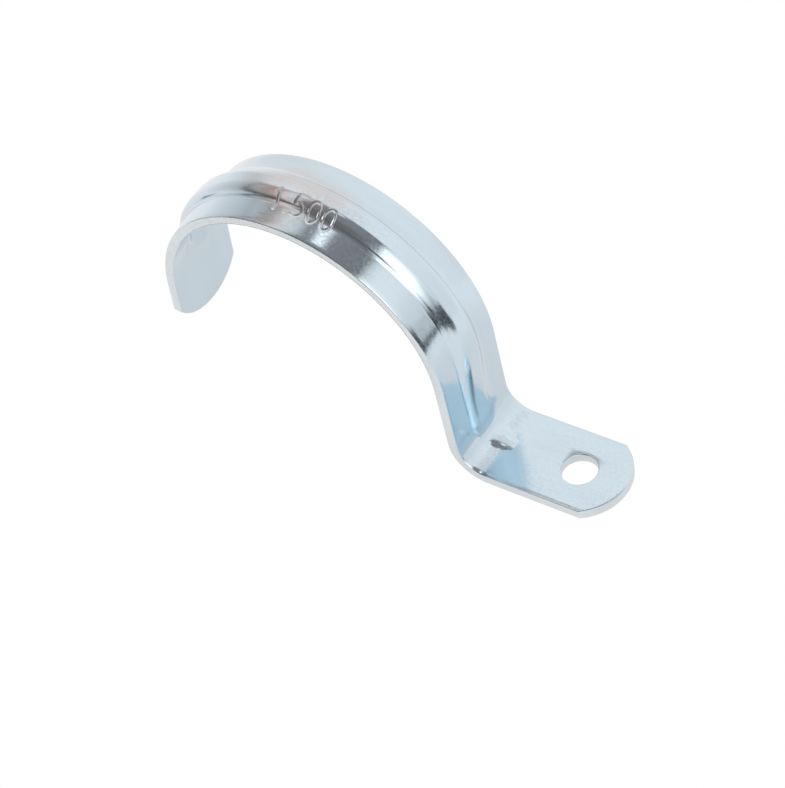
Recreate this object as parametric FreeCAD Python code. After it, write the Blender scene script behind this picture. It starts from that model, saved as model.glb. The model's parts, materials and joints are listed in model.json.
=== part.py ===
"""One-hole conduit strap, pressed from one piece of zinc-plated steel strip.

Frame: the origin is on the screw hole's axis, in the plane of the foot's underside.
+X runs along the foot towards its tip, +Y across the strip, +Z up through the hole.
All lengths are in millimetres and all angles in degrees.

The strip's profile is one J in the XZ plane: foot, bend, leg, arch round the conduit and a
short hook.  A bead is pressed outwards along the middle, so the conduit side has a matching
groove and the wall keeps its thickness.
"""
import FreeCAD
import Part
import math
import os

# The strip.
strip_width = 14.4
strip_thickness = 1.6

# The conduit, and where it lies from the screw hole.
conduit_diameter = 48.3
conduit_clearance = 0.05
seat_to_hole = 42.5
seat_height = 18.1

# The foot: its bend, its screw hole and its rounded tip.
bend_radius = 4.4
screw_hole_diameter = 5.8
hole_to_tip = 8.2
foot_tip_bulge = 4.1

# The hook: how far short of half a turn the arch stops, and the straight end after it.
hook_opening = 5.2
hook_length = 9.6
hook_tip_bulge = 4.0

# The bead: its height over the strip and its section.
bead_height = 1.7
bead_flat_width = 1.7
bead_punch_radius = 0.3
bead_flank_angle = 65.0
bead_root_radius = 0.7

# The bead's ends: where it leaves full height on the arch, and the radii it sinks by.
bead_hook_end = 147.0
bead_hook_run_out = 13.0
bead_foot_run_out = 6.0

# Values that follow from the ones above.
seat_radius = conduit_diameter / 2 + conduit_clearance
arch_end = 180.0 - hook_opening
leg_face_x = -seat_to_hole + seat_radius + strip_thickness
bend_x = leg_face_x + bend_radius
bend_z = strip_thickness + bend_radius
cut_margin = 2.0

SEAT = FreeCAD.Vector(-seat_to_hole, 0, seat_height)
BEND = FreeCAD.Vector(bend_x, 0, bend_z)
ALONG = FreeCAD.Vector(1, 0, 0)
ACROSS = FreeCAD.Vector(0, 1, 0)
UP = FreeCAD.Vector(0, 0, 1)


def direction(angle):
    """Unit vector in the XZ plane, turned from +X towards +Z."""
    return FreeCAD.Vector(math.cos(math.radians(angle)), 0, math.sin(math.radians(angle)))


def arc(centre, radius, start, end):
    """Circular edge in the XZ plane from one angle to another."""
    points = [centre + direction(start + (end - start) * share) * radius for share in (0, 0.5, 1)]
    return Part.Arc(*points).toShape()


def line(start, end):
    return Part.LineSegment(start, end).toShape()


def closed_face(edges):
    return Part.Face(Part.Wire(Part.__sortEdges__(edges)))


# The strip without its bead.
def profile_side(height):
    """The J line that lies this high over the strip's outer face, from foot tip to hook end."""
    arch_r = seat_radius + strip_thickness + height
    bend_r = bend_radius - height
    foot_z = strip_thickness + height
    hook_start = SEAT + direction(arch_end) * arch_r
    return [
        line(FreeCAD.Vector(hole_to_tip, 0, foot_z), FreeCAD.Vector(bend_x, 0, foot_z)),
        arc(BEND, bend_r, 270, 180),
        line(FreeCAD.Vector(bend_x - bend_r, 0, bend_z), FreeCAD.Vector(bend_x - bend_r, 0, seat_height)),
        arc(SEAT, arch_r, 0, bead_hook_end),
        arc(SEAT, arch_r, bead_hook_end, arch_end),
        line(hook_start, hook_start + direction(arch_end + 90) * hook_length),
    ]


def strip_layer(low, high):
    """The J between two heights over the strip's outer face, as wide as the strip."""
    inner = profile_side(low)
    outer = profile_side(high)
    foot_edge = line(inner[0].firstVertex().Point, outer[0].firstVertex().Point)
    hook_edge = line(inner[-1].lastVertex().Point, outer[-1].lastVertex().Point)
    face = closed_face(inner + outer + [foot_edge, hook_edge])
    face.translate(ACROSS * (-strip_width / 2))
    return face.extrude(ACROSS * strip_width)


def tip_offcut(middle, along, bulge, through):
    """What the shears take off a tip: all that lies past an arc across the strip.

    The arc bulges from the corners' line, whose middle is given on the strip's inner face.
    """
    side = ACROSS * (strip_width / 2)
    margin = ACROSS * cut_margin
    length = along * (bulge + cut_margin)
    face = closed_face([
        Part.Arc(middle + side, middle + along * bulge, middle - side).toShape(),
        line(middle - side, middle - side - margin),
        line(middle - side - margin, middle - side - margin + length),
        line(middle - side - margin + length, middle + side + margin + length),
        line(middle + side + margin + length, middle + side + margin),
        line(middle + side + margin, middle + side),
    ])
    face.translate(through * -cut_margin)
    return face.extrude(through * (strip_thickness + 2 * cut_margin))


# The bead.
def bead_section(crown_radius, root_radius, bottom):
    """Face across the bead at the top of the leg: flat crown, shoulders, flanks and roots.

    Heights count from the strip's outer face.  The bead's skin and its groove share the
    centres of their rounds, so the wall between them keeps the strip's thickness.
    """
    flank = math.radians(bead_flank_angle)
    shoulder_y = bead_flat_width / 2
    shoulder_h = bead_height - strip_thickness - bead_punch_radius
    rounds = bead_punch_radius + strip_thickness + bead_root_radius
    slope = (shoulder_h - bead_root_radius + rounds * math.cos(flank)) / math.tan(flank)
    root_y = shoulder_y + rounds * math.sin(flank) + slope
    root_h = bead_root_radius

    def point(y, h):
        return FreeCAD.Vector(leg_face_x + h, y, seat_height)

    edges = []
    for side in (-1, 1):
        crown = []
        root = []
        for angle in (0, flank / 2, flank):
            reach = math.sin(angle)
            rise = math.cos(angle)
            crown.append(point(side * (shoulder_y + crown_radius * reach), shoulder_h + crown_radius * rise))
            root.append(point(side * (root_y - root_radius * reach), root_h - root_radius * rise))
        edges.append(Part.Arc(*crown).toShape())
        edges.append(line(crown[-1], root[-1]))
        edges.append(Part.Arc(*root).toShape())
        edges.append(line(root[0], point(side * root_y, bottom)))
    crown_h = shoulder_h + crown_radius
    edges.append(line(point(-shoulder_y, crown_h), point(shoulder_y, crown_h)))
    edges.append(line(point(-root_y, bottom), point(root_y, bottom)))
    return closed_face(edges)


def hook_run_out(section):
    """Past the bead's full height on the arch it turns about a nearer centre, down to the seat."""
    offset = seat_radius + strip_thickness + bead_height - bead_hook_run_out
    cosine = (seat_radius ** 2 - offset ** 2 - bead_hook_run_out ** 2) / (2 * offset * bead_hook_run_out)
    start = section.copy()
    start.rotate(SEAT, ACROSS, -bead_hook_end)
    centre = SEAT + direction(bead_hook_end) * offset
    return start.revolve(centre, ACROSS, -math.degrees(math.acos(cosine)))


def foot_run_out(section):
    """Past the bend it turns down into the foot, as deep as the foot's underside."""
    centre = FreeCAD.Vector(bend_x, 0, strip_thickness + bead_height - bead_foot_run_out)
    turn = math.degrees(math.acos(-centre.z / bead_foot_run_out))
    start = section.copy()
    start.rotate(BEND, ACROSS, -90)
    return start.revolve(centre, ACROSS, turn)


def bead_sweep(section):
    """The section carried over the arch, down the leg, round the bend and out at both ends."""
    over_arch = section.revolve(SEAT, ACROSS, -bead_hook_end)
    down_leg = section.extrude(UP * (bend_z - seat_height))
    at_bend = section.copy()
    at_bend.translate(UP * (bend_z - seat_height))
    round_bend = at_bend.revolve(BEND, ACROSS, -90)
    lengths = [hook_run_out(section), down_leg, round_bend, foot_run_out(at_bend)]
    return over_arch.fuse(lengths).removeSplitter()


def bead_skin():
    """The bead itself.  Its ends count only outside the middle of the strip's wall."""
    section = bead_section(
        bead_punch_radius + strip_thickness, bead_root_radius, -0.75 * strip_thickness)
    return bead_sweep(section).common(strip_layer(-0.5 * strip_thickness, bead_height + cut_margin / 2))


def bead_groove():
    """The groove that the punch leaves on the conduit side."""
    section = bead_section(
        bead_punch_radius, bead_root_radius + strip_thickness, -1.25 * strip_thickness)
    return bead_sweep(section)


# The strap.
def make_strap():
    strap = strip_layer(-strip_thickness, 0).fuse(bead_skin()).cut(bead_groove())
    foot_corners = ALONG * (hole_to_tip - foot_tip_bulge)
    strap = strap.cut(tip_offcut(foot_corners, ALONG, foot_tip_bulge, UP))
    hook_out = direction(arch_end)
    hook_along = direction(arch_end + 90)
    hook_corners = SEAT + hook_out * seat_radius + hook_along * (hook_length - hook_tip_bulge)
    strap = strap.cut(tip_offcut(hook_corners, hook_along, hook_tip_bulge, hook_out))
    drill = Part.makeCylinder(
        screw_hole_diameter / 2, strip_thickness + 2 * cut_margin, UP * -cut_margin, UP)
    return strap.cut(drill).Solids[0]


os.makedirs("parts", exist_ok=True)
strap = make_strap()
strap.exportStep("parts/strap.step")
print("strap:", len(strap.Solids), "solid, valid", strap.isValid(), "volume", round(strap.Volume, 1), "mm3")
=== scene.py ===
"""Looks of the conduit strap: its pressed sheet, its zinc plating, the studio and the camera.

The strap is modelled here the way the real one is made.  A flat blank is cut and punched, the
bead and the size number are pressed into it, its sheared edges are rounded, and then it is bent
along the same path as the CAD node, which it replaces.
Lengths are metres in the CAD frame, written in millimetres where they are small, and angles are
degrees.  On the flat blank u runs along the strip and y across it.
"""
import json
import math

import bmesh
import bpy
from mathutils import Matrix, Vector, noise


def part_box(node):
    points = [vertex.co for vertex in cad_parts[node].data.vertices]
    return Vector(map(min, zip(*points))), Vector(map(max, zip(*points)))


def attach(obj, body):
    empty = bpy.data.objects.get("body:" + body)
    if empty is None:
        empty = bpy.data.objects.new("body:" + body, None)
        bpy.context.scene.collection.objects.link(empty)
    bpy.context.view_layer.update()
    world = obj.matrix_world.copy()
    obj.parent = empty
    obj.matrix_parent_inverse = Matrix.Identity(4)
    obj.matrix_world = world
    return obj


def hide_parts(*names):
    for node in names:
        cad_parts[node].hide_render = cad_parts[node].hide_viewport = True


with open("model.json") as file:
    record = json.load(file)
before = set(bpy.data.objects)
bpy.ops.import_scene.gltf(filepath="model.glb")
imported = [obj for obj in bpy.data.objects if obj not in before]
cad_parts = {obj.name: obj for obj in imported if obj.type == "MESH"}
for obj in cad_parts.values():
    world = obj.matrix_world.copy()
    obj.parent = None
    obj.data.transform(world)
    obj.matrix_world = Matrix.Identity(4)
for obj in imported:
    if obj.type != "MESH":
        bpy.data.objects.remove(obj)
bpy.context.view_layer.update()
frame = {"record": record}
MM = 0.001
hair = 0.001 * MM

# ---------------------------------------------------------------------------------------------
# Sizes that the frame gives.

mounts = {mount["name"]: mount for mount in frame["record"]["mounts"]}
node_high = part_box("strap")[1]
seat = Vector(mounts["conduit_seat"]["pos_m"])
seat_radius = mounts["conduit_seat"]["dims"]["r_mm"] * MM
strip_width = mounts["conduit_seat"]["dims"]["length_mm"] * MM
strip_thickness = mounts["screw_hole"]["dims"]["length_mm"] * MM
hole_radius = mounts["screw_hole"]["dims"]["r_mm"] * MM
hole_to_tip = node_high.x
bead_height = node_high.z - seat.z - seat_radius - strip_thickness

# Sizes of the press tools.
bend_radius = 4.4 * MM
foot_tip_bulge = 4.1 * MM
hook_opening = 5.2
hook_length = 9.6 * MM
hook_tip_bulge = 4.0 * MM
bead_flat_width = 1.7 * MM
bead_punch_radius = 0.3 * MM
bead_flank_angle = 65.0
bead_root_radius = 0.7 * MM
bead_hook_end = 147.0
bead_hook_run_out = 13.0 * MM

# The press leaves the bead's far slope and root softer: the profile is averaged over this reach.
far_root_softness = 0.8 * MM
softened_over = (-1, -0.5, 0, 0.5, 1)

# The bead is low on the leg and grows to its full height over the start of the arch.
bead_leg_share = 0.33
bead_leg_grows = 22.0 * MM
bead_leg_full = 40.0 * MM

# It fades where the strip bends, and leaves a narrower nose that runs out on the foot.
bead_fade_start = 19.5 * MM
bead_fade_end = 16.0 * MM
bead_bend_share = 0.7
bead_nose_share = 0.5
bead_nose_start = 12.6 * MM
bead_foot_fade = 6.0 * MM

# On the arch the press leaves the flanges leaning up to the bead; their sheared sides stay down.
flange_lean = 6.0
lean_start = 2.0 * MM
lean_full = 11.0 * MM

# Long soft waves and fine pebbling that rolling and plating leave in the sheet.
wave_height = 0.012 * MM
wave_length = 7.0 * MM
pebble_height = 0.0008 * MM
pebble_length = 0.9 * MM
pebble_offset = Vector((7, 3, 5))

# The size number, pressed into the bead's near slope: its foot is toward the strip's near side.
mark_text = "1.500"
mark_depth = 0.11 * MM
mark_stroke = 0.2 * MM
mark_height = 3.1 * MM
mark_foot = -4.1 * MM
mark_first = 42.3 * MM
mark_pitch = 2.45 * MM
narrow_figures = {".": 0.6, "1": 0.9}

# The stretch of the arch and the band across the strip that the number lies in.
mark_from = 31.5 * MM
mark_to = 43.5 * MM
mark_low = -4.56 * MM
mark_high = -0.24 * MM

# The sheared edges, rounded where the blade entered and nearly sharp where it left, with rows of
# faces at these shares of the rounding and of the wall between.
edge_round = 0.17 * MM
burr_round = 0.08 * MM
edge_steps = (0.0, 0.08, 0.3, 0.62, 1.0)
wall_steps = (0.25, 0.5, 0.75, 1.0)

# The grid across the blank is finest on the bead's near slope, where the number is pressed.
slope_foot = 3.4 * MM
slope_top = 1.95 * MM
slope_spacing = 0.055 * MM
mark_spacing = 0.15 * MM
crown_spacing = 0.24 * MM
far_slope_spacing = 0.13 * MM
flange_spacing = 0.6 * MM

# The grid along the blank is finest round the screw hole, in the bend and under the number.
hole_frame = 3.6 * MM
hole_spacing = 0.24 * MM
foot_spacing = 0.45 * MM
bend_spacing = 0.26 * MM
arch_spacing = 0.4 * MM
figure_spacing = 0.13 * MM
tip_margin = 1.0 * MM
tip_count = 12

# Half the bead's width at the strip, out to where its root rounds end.
bead_rounds = strip_thickness + bead_punch_radius + bead_root_radius
bead_flank_height = bead_height - bead_rounds * (1 - math.cos(math.radians(bead_flank_angle)))
bead_half_width = (
    bead_flat_width / 2 + bead_rounds * math.sin(math.radians(bead_flank_angle))
    + bead_flank_height / math.tan(math.radians(bead_flank_angle)))

# The blank, laid out flat along the strip's outer face: u runs from the screw hole to the hook.
arch_radius = seat_radius + strip_thickness
foot_flat = -seat.x - arch_radius - bend_radius
bend_length = bend_radius * math.pi / 2
leg_length = seat.z - strip_thickness - bend_radius
arch_angle = math.radians(180.0 - hook_opening)
arch_length = arch_radius * arch_angle
bend_start = foot_flat
leg_start = bend_start + bend_length
arch_start = leg_start + leg_length
hook_start = arch_start + arch_length
blank_end = hook_start + hook_length
mark_start = arch_start + mark_from
mark_end = arch_start + mark_to


# ---------------------------------------------------------------------------------------------
# The bead, on the flat blank.

def bead_profile(y):
    """Height of the full bead over the strip, y off its middle."""
    flank = math.radians(bead_flank_angle)
    shoulder = bead_flat_width / 2
    crown_radius = bead_punch_radius + strip_thickness
    root = bead_half_width
    y = abs(y)
    if y <= shoulder:
        return bead_height
    if y >= root:
        return 0.0
    flank_start = shoulder + crown_radius * math.sin(flank)
    if y <= flank_start:
        return bead_height - crown_radius + math.sqrt(crown_radius ** 2 - (y - shoulder) ** 2)
    if y >= root - bead_root_radius * math.sin(flank):
        return bead_root_radius - math.sqrt(bead_root_radius ** 2 - (root - y) ** 2)
    return bead_height - crown_radius * (1 - math.cos(flank)) - (y - flank_start) * math.tan(flank)


def bead_sink(u):
    """How far the bead has sunk into the strip at u: it runs out in an arc at the hook."""
    turn = (u - arch_start) / arch_radius - math.radians(bead_hook_end)
    if turn <= 0:
        return 0.0
    crown = arch_radius + bead_height
    offset = crown - bead_hook_run_out
    inside = bead_hook_run_out ** 2 - (offset * math.sin(turn)) ** 2
    if inside <= 0 or turn > math.pi / 2:
        return crown
    return crown - offset * math.cos(turn) - math.sqrt(inside)


def eased(start, end, value):
    """0 before start, 1 past end, and a smooth rise between."""
    share = min(1.0, max(0.0, (value - start) / (end - start)))
    return share * share * (3 - 2 * share)


def far_softness(y):
    """How widely the sheet is softened at y: only over the bead's far slope and root."""
    return far_root_softness * eased(bead_flat_width / 2, bead_half_width - far_root_softness, y)


def flange_rise(u, y):
    """Height that the leaning flange has gained at y, up to its full height under the bead."""
    share = eased(arch_start + lean_start, arch_start + lean_full, u)
    share *= max(0.0, 1 - bead_sink(u) / bead_height)
    soft = max(far_softness(y), hair)
    past = min(max(abs(y) - bead_half_width + soft, 0.0), 2 * soft) ** 2 / (4 * soft)
    past += max(abs(y) - bead_half_width - soft, 0.0)
    run = strip_width / 2 - bead_half_width - past
    return max(0.0, run) * math.tan(math.radians(flange_lean)) * share


def bead_rise(u, y):
    """Height of the bead over the strip's outer face; where it sinks it keeps a rounded root."""
    sink = bead_sink(u)
    flange = flange_rise(u, y)
    narrowed = bead_nose_share + (1 - bead_nose_share) * eased(bead_nose_start, bead_fade_start, u)
    soft = far_softness(y)
    profile = sum(bead_profile((y + soft * part) / narrowed) for part in softened_over)
    profile /= len(softened_over)
    height = profile * (1 - flange_rise(u, 0) / bead_height) - sink
    share = bead_leg_share + (1 - bead_leg_share) * eased(bead_leg_grows, bead_leg_full, u)
    share *= eased(bead_fade_end, bead_fade_start, u)
    height *= share + bead_bend_share * (1 - eased(bead_nose_start, bead_fade_end, u))
    if u < bend_start:
        return height * eased(bend_start - bead_foot_fade, bend_start, u)
    root = min(bead_root_radius / 2, sink)
    if height >= root:
        return height + flange
    if height <= -root:
        return flange
    return (height + root) ** 2 / (4 * root) + flange


def bead_normal(u, y):
    """Direction out of the beaded face, on the flat blank."""
    step = 0.01 * MM
    slope_u = (bead_rise(u + step, y) - bead_rise(u - step, y)) / (2 * step)
    slope_y = (bead_rise(u, y + step) - bead_rise(u, y - step)) / (2 * step)
    return Vector((-slope_u, -slope_y, 1)).normalized()


# ---------------------------------------------------------------------------------------------
# The flat blank: a grid fitted to the tips and the screw hole.

def divided(start, end, spacing):
    """Places from start up to, but not at, end, evenly spaced."""
    count = max(1, round((end - start) / spacing))
    return [start + (end - start) * step / count for step in range(count)]


def tip_edge(y, bulge):
    """How far a tip stands out past its corners at y, and how squarely its edge meets u."""
    half = strip_width / 2
    radius = (half ** 2 + bulge ** 2) / (2 * bulge)
    across = math.sqrt(radius ** 2 - y ** 2)
    return across - (radius - bulge), across / radius


def grid_rows():
    """Grid places across the blank, closest at its sides, over the bead and at the mark."""
    half = strip_width / 2
    side = [half - edge_round * step for step in edge_steps]
    rows = [-place for place in side]
    rows += divided(-side[-1], mark_low, flange_spacing)[1:]
    rows += divided(mark_low, -slope_foot, mark_spacing)
    rows += divided(-slope_foot, -slope_top, slope_spacing)
    rows += divided(-slope_top, mark_high, mark_spacing)
    rows += divided(mark_high, -mark_high, crown_spacing)
    rows += divided(-mark_high, hole_frame, far_slope_spacing)
    rows += divided(hole_frame, side[-1], flange_spacing)
    return rows + side[::-1]


def grid_columns():
    """Grid places along the blank: (place, share of the way to a tip's edge, inset from it)."""
    last_plain = blank_end - hook_tip_bulge - tip_margin
    insets = [edge_round * step for step in edge_steps]
    shares = [1 - step / tip_count for step in range(1, tip_count)]
    columns = [(-hole_frame, 1, inset) for inset in insets]
    columns += [(-hole_frame, share, insets[-1]) for share in shares]
    stretches = [
        (-hole_frame, hole_frame, hole_spacing),
        (hole_frame, bend_start - bead_foot_fade, foot_spacing),
        (bend_start - bead_foot_fade, arch_start, bend_spacing),
        (arch_start, mark_start, arch_spacing),
        (mark_start, mark_end, figure_spacing),
        (mark_end, hook_start, arch_spacing),
        (hook_start, last_plain, arch_spacing),
    ]
    for start, end, spacing in stretches:
        columns += [(place, 0, 0) for place in divided(start, end, spacing)]
    columns += [(last_plain, 0, 0)]
    columns += [(last_plain, share, insets[-1]) for share in shares[::-1]]
    return columns + [(last_plain, 1, inset) for inset in insets[::-1]]


def cut_blank():
    """The blank's outline and hole as one flat sheet of faces, at height zero."""
    columns = grid_columns()
    rows = grid_rows()
    blank = bmesh.new()
    bmesh.ops.create_grid(blank, x_segments=len(columns) - 1, y_segments=len(rows) - 1, size=1)
    for vertex in blank.verts:
        place, share, inset = columns[round((vertex.co.x + 1) / 2 * (len(columns) - 1))]
        y = rows[round((vertex.co.y + 1) / 2 * (len(rows) - 1))]
        if place < 0:
            edge = inset - hole_to_tip + foot_tip_bulge - tip_edge(y, foot_tip_bulge)[0]
        else:
            edge = blank_end - hook_tip_bulge + tip_edge(y, hook_tip_bulge)[0] - inset
        vertex.co = Vector((place + (edge - place) * share, y, 0))
    punch_hole(blank)
    return blank


def punch_hole(blank):
    """Opens the grid round the screw hole and rings the hole with faces."""
    near = hole_frame + hair
    inside = [
        face for face in blank.faces
        if abs(face.calc_center_median().x) < near and abs(face.calc_center_median().y) < near
    ]
    bmesh.ops.delete(blank, geom=inside, context="FACES")
    rim = [
        edge for edge in blank.edges
        if edge.is_boundary and all(abs(v.co.x) < near and abs(v.co.y) < near for v in edge.verts)
    ]
    for step in edge_steps[::-1]:
        ring = bmesh.ops.extrude_edge_only(blank, edges=rim)["geom"]
        for vertex in ring:
            if isinstance(vertex, bmesh.types.BMVert):
                vertex.co = vertex.co.normalized() * (hole_radius + edge_round * step)
        rim = [edge for edge in ring if isinstance(edge, bmesh.types.BMEdge) and edge.is_boundary]


def edge_distance(u, y):
    """How far a point of the blank lies in from the nearest sheared edge."""
    foot_reach, foot_square = tip_edge(y, foot_tip_bulge)
    hook_reach, hook_square = tip_edge(y, hook_tip_bulge)
    return max(0.0, min(
        strip_width / 2 - abs(y),
        (u + hole_to_tip - foot_tip_bulge + foot_reach) * foot_square,
        (blank_end - hook_tip_bulge + hook_reach - u) * hook_square,
        math.hypot(u, y) - hole_radius,
    ))


def rounded_drop(distance, radius):
    """How far a rounded edge has dropped at this distance in from the edge."""
    if distance >= radius:
        return 0.0
    return radius - math.sqrt(radius ** 2 - (radius - distance) ** 2)


# ---------------------------------------------------------------------------------------------
# The pressed number.  Strokes are in shares of the number's height: (0, 0) is a figure's foot.

def bowed(centre, reach, start, end, count=10):
    """Strokes of a round stretch: degrees from start to end round centre, reach across and up."""
    turns = [math.radians(start + (end - start) * step / count) for step in range(count + 1)]
    places = [
        (centre[0] + reach[0] * math.cos(turn), centre[1] + reach[1] * math.sin(turn))
        for turn in turns
    ]
    return list(zip(places, places[1:]))


figure_strokes = {
    "0": bowed((0.28, 0.5), (0.26, 0.5), 0, 360, 20),
    "1": [((0.28, 0.0), (0.28, 1.0)), ((0.28, 1.0), (0.1, 0.8))],
    "5": [((0.5, 1.0), (0.1, 1.0)), ((0.1, 1.0), (0.06, 0.56))]
         + bowed((0.22, 0.31), (0.3, 0.31), 122, -130),
    ".": [((0.16, 0.03), (0.26, 0.03))],
}


def mark_strokes():
    """The number's strokes on the blank: it reads toward the foot, its top to the bead's middle."""
    strokes = []
    first = arch_start + mark_first
    for figure in mark_text:
        for start, end in figure_strokes[figure]:
            strokes.append([
                Vector((first - x * mark_height, mark_foot + y * mark_height))
                for x, y in (start, end)
            ])
        first -= mark_pitch * narrow_figures.get(figure, 1.0)
    return strokes


def pressed_depth(u, y):
    """How deep the number's round-nosed strokes are pressed in at this point."""
    if not (mark_start < u < mark_end and mark_low < y < mark_high):
        return 0.0
    point = Vector((u, y))
    nearest = mark_stroke
    for start, end in number_strokes:
        along = end - start
        share = min(1.0, max(0.0, (point - start).dot(along) / along.length_squared))
        nearest = min(nearest, (point - start - along * share).length)
    return mark_depth * math.cos(nearest / mark_stroke * math.pi / 2) ** 2


# ---------------------------------------------------------------------------------------------
# The strap, pressed and bent.

def sheet_wave(u, y):
    """Small unevenness of the sheet, the same on both faces."""
    place = Vector((u, y, 0))
    return (
        noise.noise(place / wave_length) * wave_height
        + noise.noise(place / pebble_length + pebble_offset) * pebble_height)


def outer_point(u, y):
    """Point of the outer face on the flat blank, and how far the bead's tool has drawn it."""
    drop = rounded_drop(edge_distance(u, y), edge_round)
    drawn = bead_rise(u, y)
    point = Vector((u, y, drawn + sheet_wave(u, y) - drop))
    pressed = pressed_depth(u, y)
    return (point - bead_normal(u, y) * pressed if pressed else point), drawn


def inner_point(u, y):
    """Point of the conduit side, one wall behind the outer face, and how far it is drawn."""
    lift = rounded_drop(edge_distance(u, y), burr_round)
    wall = bead_normal(u, y) * strip_thickness
    rise = bead_rise(u, y)
    point = Vector((u, y, rise + sheet_wave(u, y))) - wall + Vector((0, 0, lift))
    return point, rise - wall.z + strip_thickness


def wall_point(u, y, depth):
    """Point at a share of the wall's depth, 0 on the outer face and 1 on the conduit side."""
    if depth == 0:
        return outer_point(u, y)
    inner, inner_drawn = inner_point(u, y)
    if depth == 1:
        return inner, inner_drawn
    outer, outer_drawn = outer_point(u, y)
    return outer.lerp(inner, depth), outer_drawn + (inner_drawn - outer_drawn) * depth


def path_at(u):
    """Point on the strip's outer face at u, and the direction out of that face."""
    if u < bend_start:
        return Vector((-u, 0, strip_thickness)), Vector((0, 0, 1))
    if u < leg_start:
        turn = (u - bend_start) / bend_radius
        out = Vector((math.sin(turn), 0, math.cos(turn)))
        centre = Vector((-foot_flat, 0, strip_thickness + bend_radius))
        return centre - out * bend_radius, out
    if u < arch_start:
        height = strip_thickness + bend_radius + u - leg_start
        return Vector((seat.x + arch_radius, 0, height)), Vector((1, 0, 0))
    turn = min((u - arch_start) / arch_radius, arch_angle)
    out = Vector((math.cos(turn), 0, math.sin(turn)))
    along = Vector((-math.sin(turn), 0, math.cos(turn)))
    past = max(u - hook_start, 0)
    return Vector((seat.x, 0, seat.z)) + out * arch_radius + along * past, out


def bent(point, drawn):
    """Place of a pressed point on the bent strap; below the leg the bead is drawn along +X."""
    u, y, height = point
    along, out = path_at(u)
    if u >= leg_start:
        return along + out * height + Vector((0, y, 0))
    return along + out * (height - drawn) + Vector((drawn, y, 0))


number_strokes = mark_strokes()


def make_strap():
    """The blank gets its second face and its sheared edges, and is bent along the path."""
    sheet = cut_blank()
    depth = sheet.verts.layers.float.new("depth")
    drawn = sheet.verts.layers.float.new("drawn")
    flat = sheet.verts.layers.float_vector.new("flat")
    outline = [edge for edge in sheet.edges if edge.is_boundary]
    copied = bmesh.ops.duplicate(sheet, geom=sheet.verts[:] + sheet.edges[:] + sheet.faces[:])
    for item in copied["geom"]:
        if isinstance(item, bmesh.types.BMVert):
            item[depth] = 1.0
    for share in wall_steps:
        wall = bmesh.ops.extrude_edge_only(sheet, edges=outline)["geom"]
        for item in wall:
            if isinstance(item, bmesh.types.BMVert):
                item[depth] = share
            elif isinstance(item, bmesh.types.BMFace):
                item.material_index = 1
        outline = [
            item for item in wall if isinstance(item, bmesh.types.BMEdge) and item.is_boundary]
    for vertex in sheet.verts:
        vertex.co, vertex[drawn] = wall_point(vertex.co.x, vertex.co.y, vertex[depth])
    seam = [vertex for vertex in sheet.verts if vertex.is_boundary]
    bmesh.ops.remove_doubles(sheet, verts=seam, dist=hair)

    for vertex in sheet.verts:
        vertex[flat] = vertex.co
        vertex.co = bent(vertex.co, vertex[drawn])
    bmesh.ops.recalc_face_normals(sheet, faces=sheet.faces[:])
    if sheet.calc_volume(signed=True) < 0:
        bmesh.ops.reverse_faces(sheet, faces=sheet.faces[:])
    for face in sheet.faces:
        face.smooth = True
    mesh = bpy.data.meshes.new("strap_sheet")
    sheet.to_mesh(mesh)
    sheet.free()
    strap = bpy.data.objects.new("strap_sheet", mesh)
    bpy.context.scene.collection.objects.link(strap)
    return strap


# ---------------------------------------------------------------------------------------------
# Zinc plating.

# Streaks in the film, on the flat blank: scale along and across it, detail and start.
haze_streaks = (60, 240, 3, 2.0)
blush_streaks = (200, 420, 3, 9.0)
polish_streaks = (2200, 2800, 4, 5.0)
drawn_grain = (3000, 3800, 3, 1.0)

# What each pattern's low and high values become.
haze_range = (0.42, 0.72, 0, 1)
blush_range = (0.3, 0.62, 0.35, 1)
polish_range = (0.35, 0.7, 0.8, 1.5)

# The blush round the pressed number: its place and its reach along and across the blank.
blush_centre = (arch_start + 39 * MM, 0.2 * MM, 0)
blush_reach = (11 * MM, 5.5 * MM, 1)
blush_edge = (0.0, 0.5, 0, 1)


def linked(tree, *chain):
    """Joins sockets pair by pair."""
    for source, target in zip(chain[::2], chain[1::2]):
        tree.links.new(source, target)


def drawn_noise(tree, scale_along, scale_across, detail, seed):
    """Noise laid out along the flat blank, so that it follows the bent strip."""
    flat = tree.nodes.new("ShaderNodeAttribute")
    flat.attribute_name = "flat"
    placed = tree.nodes.new("ShaderNodeMapping")
    placed.inputs["Location"].default_value = (seed, seed / 2, 0)
    placed.inputs["Scale"].default_value = (scale_along, scale_across, scale_across)
    pattern = tree.nodes.new("ShaderNodeTexNoise")
    pattern.inputs["Scale"].default_value = 1.0
    pattern.inputs["Detail"].default_value = detail
    linked(tree, flat.outputs["Vector"], placed.inputs["Vector"],
           placed.outputs["Vector"], pattern.inputs["Vector"])
    return pattern.outputs["Fac"]


def spread(tree, value, low, high, out_low, out_high):
    """Value brought from low..high to out_low..out_high."""
    ranged = tree.nodes.new("ShaderNodeMapRange")
    ranged.inputs["From Min"].default_value = low
    ranged.inputs["From Max"].default_value = high
    ranged.inputs["To Min"].default_value = out_low
    ranged.inputs["To Max"].default_value = out_high
    tree.links.new(value, ranged.inputs["Value"])
    return ranged.outputs["Result"]


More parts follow.
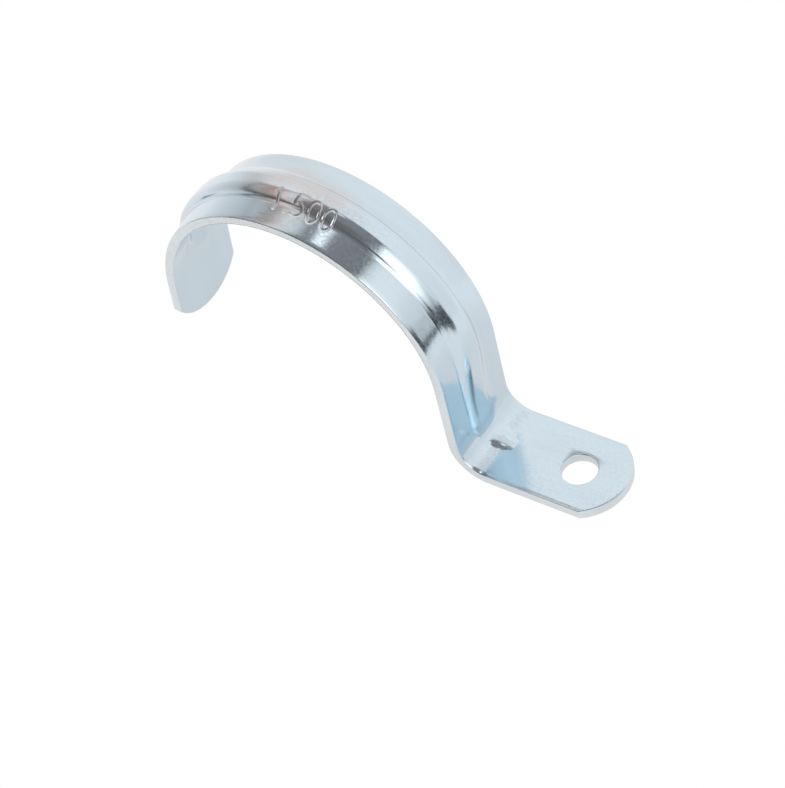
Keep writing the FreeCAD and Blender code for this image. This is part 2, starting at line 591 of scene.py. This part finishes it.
def plating_group():
    """Uneven zinc film: its colour and roughness, streaked along the strip, and its fine grain."""
    tree = bpy.data.node_groups.new("zinc_film", "ShaderNodeTree")
    sockets = (
        ("Film", "INPUT", "NodeSocketColor"), ("Blush", "INPUT", "NodeSocketColor"),
        ("Haze", "INPUT", "NodeSocketColor"), ("Roughness", "INPUT", "NodeSocketFloat"),
        ("Color", "OUTPUT", "NodeSocketColor"), ("Roughness", "OUTPUT", "NodeSocketFloat"),
        ("Grain", "OUTPUT", "NodeSocketFloat"))
    for name, direction, kind in sockets:
        tree.interface.new_socket(name, in_out=direction, socket_type=kind)
    given = tree.nodes.new("NodeGroupInput")
    made = tree.nodes.new("NodeGroupOutput")

    haze = spread(tree, drawn_noise(tree, *haze_streaks), *haze_range)
    hazed = tree.nodes.new("ShaderNodeMix")
    hazed.data_type = "RGBA"
    linked(tree, haze, hazed.inputs["Factor"], given.outputs["Film"], hazed.inputs["A"],
           given.outputs["Haze"], hazed.inputs["B"])

    flat = tree.nodes.new("ShaderNodeAttribute")
    flat.attribute_name = "flat"
    centred = tree.nodes.new("ShaderNodeMapping")
    centred.vector_type = "TEXTURE"
    centred.inputs["Location"].default_value = blush_centre
    centred.inputs["Scale"].default_value = blush_reach
    round_mark = tree.nodes.new("ShaderNodeTexGradient")
    round_mark.gradient_type = "SPHERICAL"
    linked(tree, flat.outputs["Vector"], centred.inputs["Vector"],
           centred.outputs["Vector"], round_mark.inputs["Vector"])
    broken = tree.nodes.new("ShaderNodeMath")
    broken.operation = "MULTIPLY"
    linked(tree, spread(tree, round_mark.outputs["Fac"], *blush_edge), broken.inputs[0],
           spread(tree, drawn_noise(tree, *blush_streaks), *blush_range), broken.inputs[1])
    blushed = tree.nodes.new("ShaderNodeMix")
    blushed.data_type = "RGBA"
    linked(tree, broken.outputs["Value"], blushed.inputs["Factor"],
           hazed.outputs["Result"], blushed.inputs["A"],
           given.outputs["Blush"], blushed.inputs["B"],
           blushed.outputs["Result"], made.inputs["Color"])

    uneven = tree.nodes.new("ShaderNodeMath")
    uneven.operation = "MULTIPLY"
    linked(tree, given.outputs["Roughness"], uneven.inputs[0],
           spread(tree, drawn_noise(tree, *polish_streaks), *polish_range), uneven.inputs[1],
           uneven.outputs["Value"], made.inputs["Roughness"],
           drawn_noise(tree, *drawn_grain), made.inputs["Grain"])
    return tree


def make_zinc(name, film, blush, haze, roughness, grain):
    """Zinc plate: a bright metal under an uneven film, with a fine drawn grain."""
    material = bpy.data.materials.new(name)
    material.use_nodes = True
    tree = material.node_tree
    shader = tree.nodes["Principled BSDF"]
    shader.inputs["Metallic"].default_value = 1.0
    plating = tree.nodes.new("ShaderNodeGroup")
    plating.node_tree = zinc_film
    plating.inputs["Film"].default_value = (*film, 1)
    plating.inputs["Blush"].default_value = (*blush, 1)
    plating.inputs["Haze"].default_value = (*haze, 1)
    plating.inputs["Roughness"].default_value = roughness
    relief = tree.nodes.new("ShaderNodeBump")
    relief.inputs["Strength"].default_value = 1.0
    relief.inputs["Distance"].default_value = grain
    linked(tree, plating.outputs["Color"], shader.inputs["Base Color"],
           plating.outputs["Roughness"], shader.inputs["Roughness"],
           plating.outputs["Grain"], relief.inputs["Height"],
           relief.outputs["Normal"], shader.inputs["Normal"])
    return material


zinc_film = plating_group()
bright_zinc = make_zinc(
    "bright_zinc", film=(0.56, 0.735, 0.84), blush=(0.55, 0.61, 0.645), haze=(0.54, 0.70, 0.80),
    roughness=0.15, grain=0.003 * MM)
sheared_zinc = make_zinc(
    "sheared_zinc", film=(0.65, 0.785, 0.84), blush=(0.65, 0.785, 0.84), haze=(0.60, 0.72, 0.77),
    roughness=0.26, grain=0.002 * MM)
strap = make_strap()
strap.data.materials.append(bright_zinc)
strap.data.materials.append(sheared_zinc)
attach(strap, "root")
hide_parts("strap")

# ---------------------------------------------------------------------------------------------
# The studio: a sheet of white paper in a dim room, with soft light round it.

def make_glow():
    """Soft light of the studio's sheets: each corner of a sheet says how bright it is.

    Seen straight on, the paper is plain white.
    """
    material = bpy.data.materials.new("soft_light")
    material.use_nodes = True
    tree = material.node_tree
    nodes = tree.nodes
    nodes.remove(nodes["Principled BSDF"])
    glow = nodes.new("ShaderNodeAttribute")
    glow.attribute_name = "glow"
    rays = nodes.new("ShaderNodeLightPath")
    shown = nodes.new("ShaderNodeMix")
    shown.data_type = "RGBA"
    shown.inputs["B"].default_value = (1, 1, 1, 1)
    light = nodes.new("ShaderNodeEmission")
    linked(tree, rays.outputs["Is Camera Ray"], shown.inputs["Factor"],
           glow.outputs["Color"], shown.inputs["A"], shown.outputs["Result"], light.inputs["Color"],
           light.outputs["Emission"], nodes["Material Output"].inputs["Surface"])
    return material


def studio_sheet(name, corners, glows, seen):
    """A sheet of the studio from rows of corners, as bright at each corner as glows says."""
    sheet = bmesh.new()
    across = len(corners[0])
    bmesh.ops.create_grid(sheet, x_segments=across - 1, y_segments=len(corners) - 1, size=1)
    glow = sheet.verts.layers.float_color.new("glow")
    for vertex in sheet.verts:
        row = round((vertex.co.y + 1) / 2 * (len(corners) - 1))
        column = round((vertex.co.x + 1) / 2 * (across - 1))
        shade = glows[row][column]
        tone = shade if isinstance(shade, tuple) else (shade,) * 3
        vertex[glow] = (*(part * warm for part, warm in zip(tone, lamp_tone)), 1)
        vertex.co = Vector(corners[row][column])
    mesh = bpy.data.meshes.new(name)
    sheet.to_mesh(mesh)
    sheet.free()
    mesh.materials.append(soft_light)
    piece = bpy.data.objects.new(name, mesh)
    piece.visible_camera = seen
    bpy.context.scene.collection.objects.link(piece)


soft_light = make_glow()
lamp_tone = (1.13, 1.0, 0.96)
ceiling_height = 0.8

# The paper is a little darker round the strap, where the strap keeps the light off it.  Each
# place has its shade, and each place across the paper also has the paper's edge there.
paper_drop = 0.05 * MM
shade_depth = 0.17
shade_along = ((-0.7, 0), (-0.1, 0.3), (-0.07, 1), (-0.02, 1), (0.01, 0.8), (0.04, 0.2), (0.13, 0))
shade_across = (
    (-0.062, 0, 0.105), (-0.015, 0.5, 0.1), (0, 1, 0.09), (0.022, 0.9, 0.09), (0.045, 0.5, 0.092),
    (0.07, 0.2, 0.13), (0.45, 0, 0.13))
studio_sheet(
    "floor",
    [[(min(x, edge), y, -paper_drop) for x, _ in shade_along] for y, _, edge in shade_across],
    [[1 - shade_depth * x * y for _, x in shade_along] for _, y, _ in shade_across], True)

# The window beside the foot, lower at its far end.  Each row has its height there, its height
# along the rest, and its glows.
window_place = 0.6
window_ends = (-4.0, -0.23, 0.12, 0.36)
window_rows = (
    (-1.07, 0.10, (0.5, 0.5, 0.85, 0.85)),
    (-0.79, 0.38, (1.75, 1.75, 1.12, 0.92)),
    (0.884, 0.884, (1.75, 1.75, 1.35, 1.0)))
studio_sheet(
    "side_window",
    [[(window_place, window_ends[0], low)] + [(window_place, y, high) for y in window_ends[1:]]
     for low, high, _ in window_rows],
    [glows for _, _, glows in window_rows], False)

# The backdrop behind the strap.  Each row has its height, its height past the paper's right side,
# and its glows.
backdrop_place = 0.5
backdrop_ends = (-1.25, -0.95, -0.7, 0, 0.45, 0.8, 1.1, 1.5)
backdrop_right = 1.0
backdrop_rows = (
    (-0.2, -0.13, (0.93, 0.93, 0.93, 0.95, 0.95, 0.9, 0.82, 0.78)),
    (0.25, 0.25, (0.86, 0.93, (0.96, 0.93, 0.89), 0.98, 0.97, 0.95, 0.88, 0.82)),
    (0.62, 0.62, (0.64, 0.76, 0.99, 1.03, 1.03, 0.97, 0.93, 0.9)),
    (0.95, 0.95, (0.53, 0.62, 1.12, 1.12, 1.08, 1.0, 0.98, 0.97)))
studio_sheet(
    "backdrop",
    [[(x, backdrop_place, right if x > backdrop_right else left) for x in backdrop_ends]
     for left, right, _ in backdrop_rows],
    [glows for _, _, glows in backdrop_rows], False)

# Ceiling panel, white to timber brown: each part's place and glow at the far and the near end.
panel_parts = (
    (-0.15, 0.52, -1.06, 0.30),
    (-0.22, 0.78, -1.07, 0.60),
    (-0.36, (0.98, 0.92, 0.88), -1.12, (0.88, 0.80, 0.75)),
    (-0.47, (0.86, 0.72, 0.66), -1.22, (0.84, 0.73, 0.68)),
    (-0.58, (0.57, 0.41, 0.36), -1.48, (0.48, 0.36, 0.32)),
    (-0.70, (0.54, 0.43, 0.39), -1.68, (0.28, 0.24, 0.23)),
    (-0.80, (0.66, 0.64, 0.63), -1.80, 0.16),
    (-0.98, 0.53, -1.93, 0.16),
    (-1.10, 0.55, -2.05, 0.25))
panel_far = 0.36
panel_near = -2.5
studio_sheet(
    "ceiling_panel",
    [[(far, panel_far, ceiling_height) for far, _, _, _ in panel_parts],
     [(near, panel_near, ceiling_height) for _, _, near, _ in panel_parts]],
    [[glow for _, glow, _, _ in panel_parts], [glow for _, _, _, glow in panel_parts]], False)

lamp_glow = 1.5
lamp_along = (-0.065, 0.04)
lamp_across = (0.2, 0.35)
studio_sheet(
    "ceiling_lamp",
    [[(x, y, ceiling_height) for x in lamp_along] for y in lamp_across],
    [[lamp_glow] * 2] * 2, False)

# The wall past the hook, lit along its foot: each place, with the height and glow of its top.
wall_place = -0.8
wall_foot = -0.1
wall_foot_glow = 1.02
wall_parts = ((-1.0, 0.01, 0.55), (-0.6, 0.21, 0.52), (-0.1, 0.45, 0.5), (0.5, 0.65, 0.5))
studio_sheet(
    "far_wall",
    [[(wall_place, y, wall_foot) for y, _, _ in wall_parts],
     [(wall_place, y, top) for y, top, _ in wall_parts]],
    [[wall_foot_glow] * len(wall_parts), [glow for _, _, glow in wall_parts]], False)


def make_room(tones):
    """The room past the sheets, toned by height; seen straight on, it is as white as the paper."""
    world = bpy.data.worlds.new("dim_room")
    world.use_nodes = True
    tree = world.node_tree
    nodes = tree.nodes
    direction = nodes.new("ShaderNodeTexCoord")
    height = nodes.new("ShaderNodeSeparateXYZ")
    room = nodes.new("ShaderNodeValToRGB")
    stops = room.color_ramp.elements
    for place, _ in tones[1:-1]:
        stops.new(place)
    for stop, (_, tone) in zip(stops, tones):
        stop.color = (*tone, 1)
    rays = nodes.new("ShaderNodeLightPath")
    seen = nodes.new("ShaderNodeMix")
    seen.data_type = "RGBA"
    seen.inputs["B"].default_value = (1, 1, 1, 1)
    linked(tree, direction.outputs["Generated"], height.inputs["Vector"],
           height.outputs["Z"], room.inputs["Fac"], rays.outputs["Is Camera Ray"],
           seen.inputs["Factor"], room.outputs["Color"], seen.inputs["A"],
           seen.outputs["Result"], nodes["Background"].inputs["Color"])
    return world


room_tones = (
    (0.0, (0.08, 0.08, 0.08)), (0.3, (0.20, 0.175, 0.17)), (0.8, (0.225, 0.19, 0.185)),
    (1.0, (0.34, 0.29, 0.285)))
bpy.context.scene.world = make_room(room_tones)
bpy.context.scene.view_settings.view_transform = "Standard"

# ---------------------------------------------------------------------------------------------
# The camera: where it stands, its turn about its own axis, its lens, and how far to the right
# of and above the middle of the seat, on the wall's plane, it aims.

azimuth = math.radians(44.84)
elevation = math.radians(46.92)
roll = math.radians(-15.54)
camera_distance = 0.4339
camera_lens = 124.89936
sensor_width = 36
nearest_seen = 0.01
aim_right = 6.43163 * MM
aim_up = -0.614964 * MM

toward = Vector((
    math.sin(azimuth) * math.cos(elevation),
    -math.cos(azimuth) * math.cos(elevation),
    math.sin(elevation)))
level = Vector((math.cos(azimuth), math.sin(azimuth), 0))
upright = toward.cross(level)
right = level * math.cos(roll) + upright * math.sin(roll)
up = upright * math.cos(roll) - level * math.sin(roll)
aim = Vector((seat.x, 0, 0)) + right * aim_right + up * aim_up
turned = Matrix((right, up, toward)).transposed().to_4x4()

camera = bpy.data.objects.new("camera", bpy.data.cameras.new("camera"))
camera.data.sensor_width = sensor_width
camera.data.lens = camera_lens
camera.data.clip_start = nearest_seen
camera.matrix_world = Matrix.Translation(aim + toward * camera_distance) @ turned
bpy.context.scene.collection.objects.link(camera)
bpy.context.scene.camera = camera
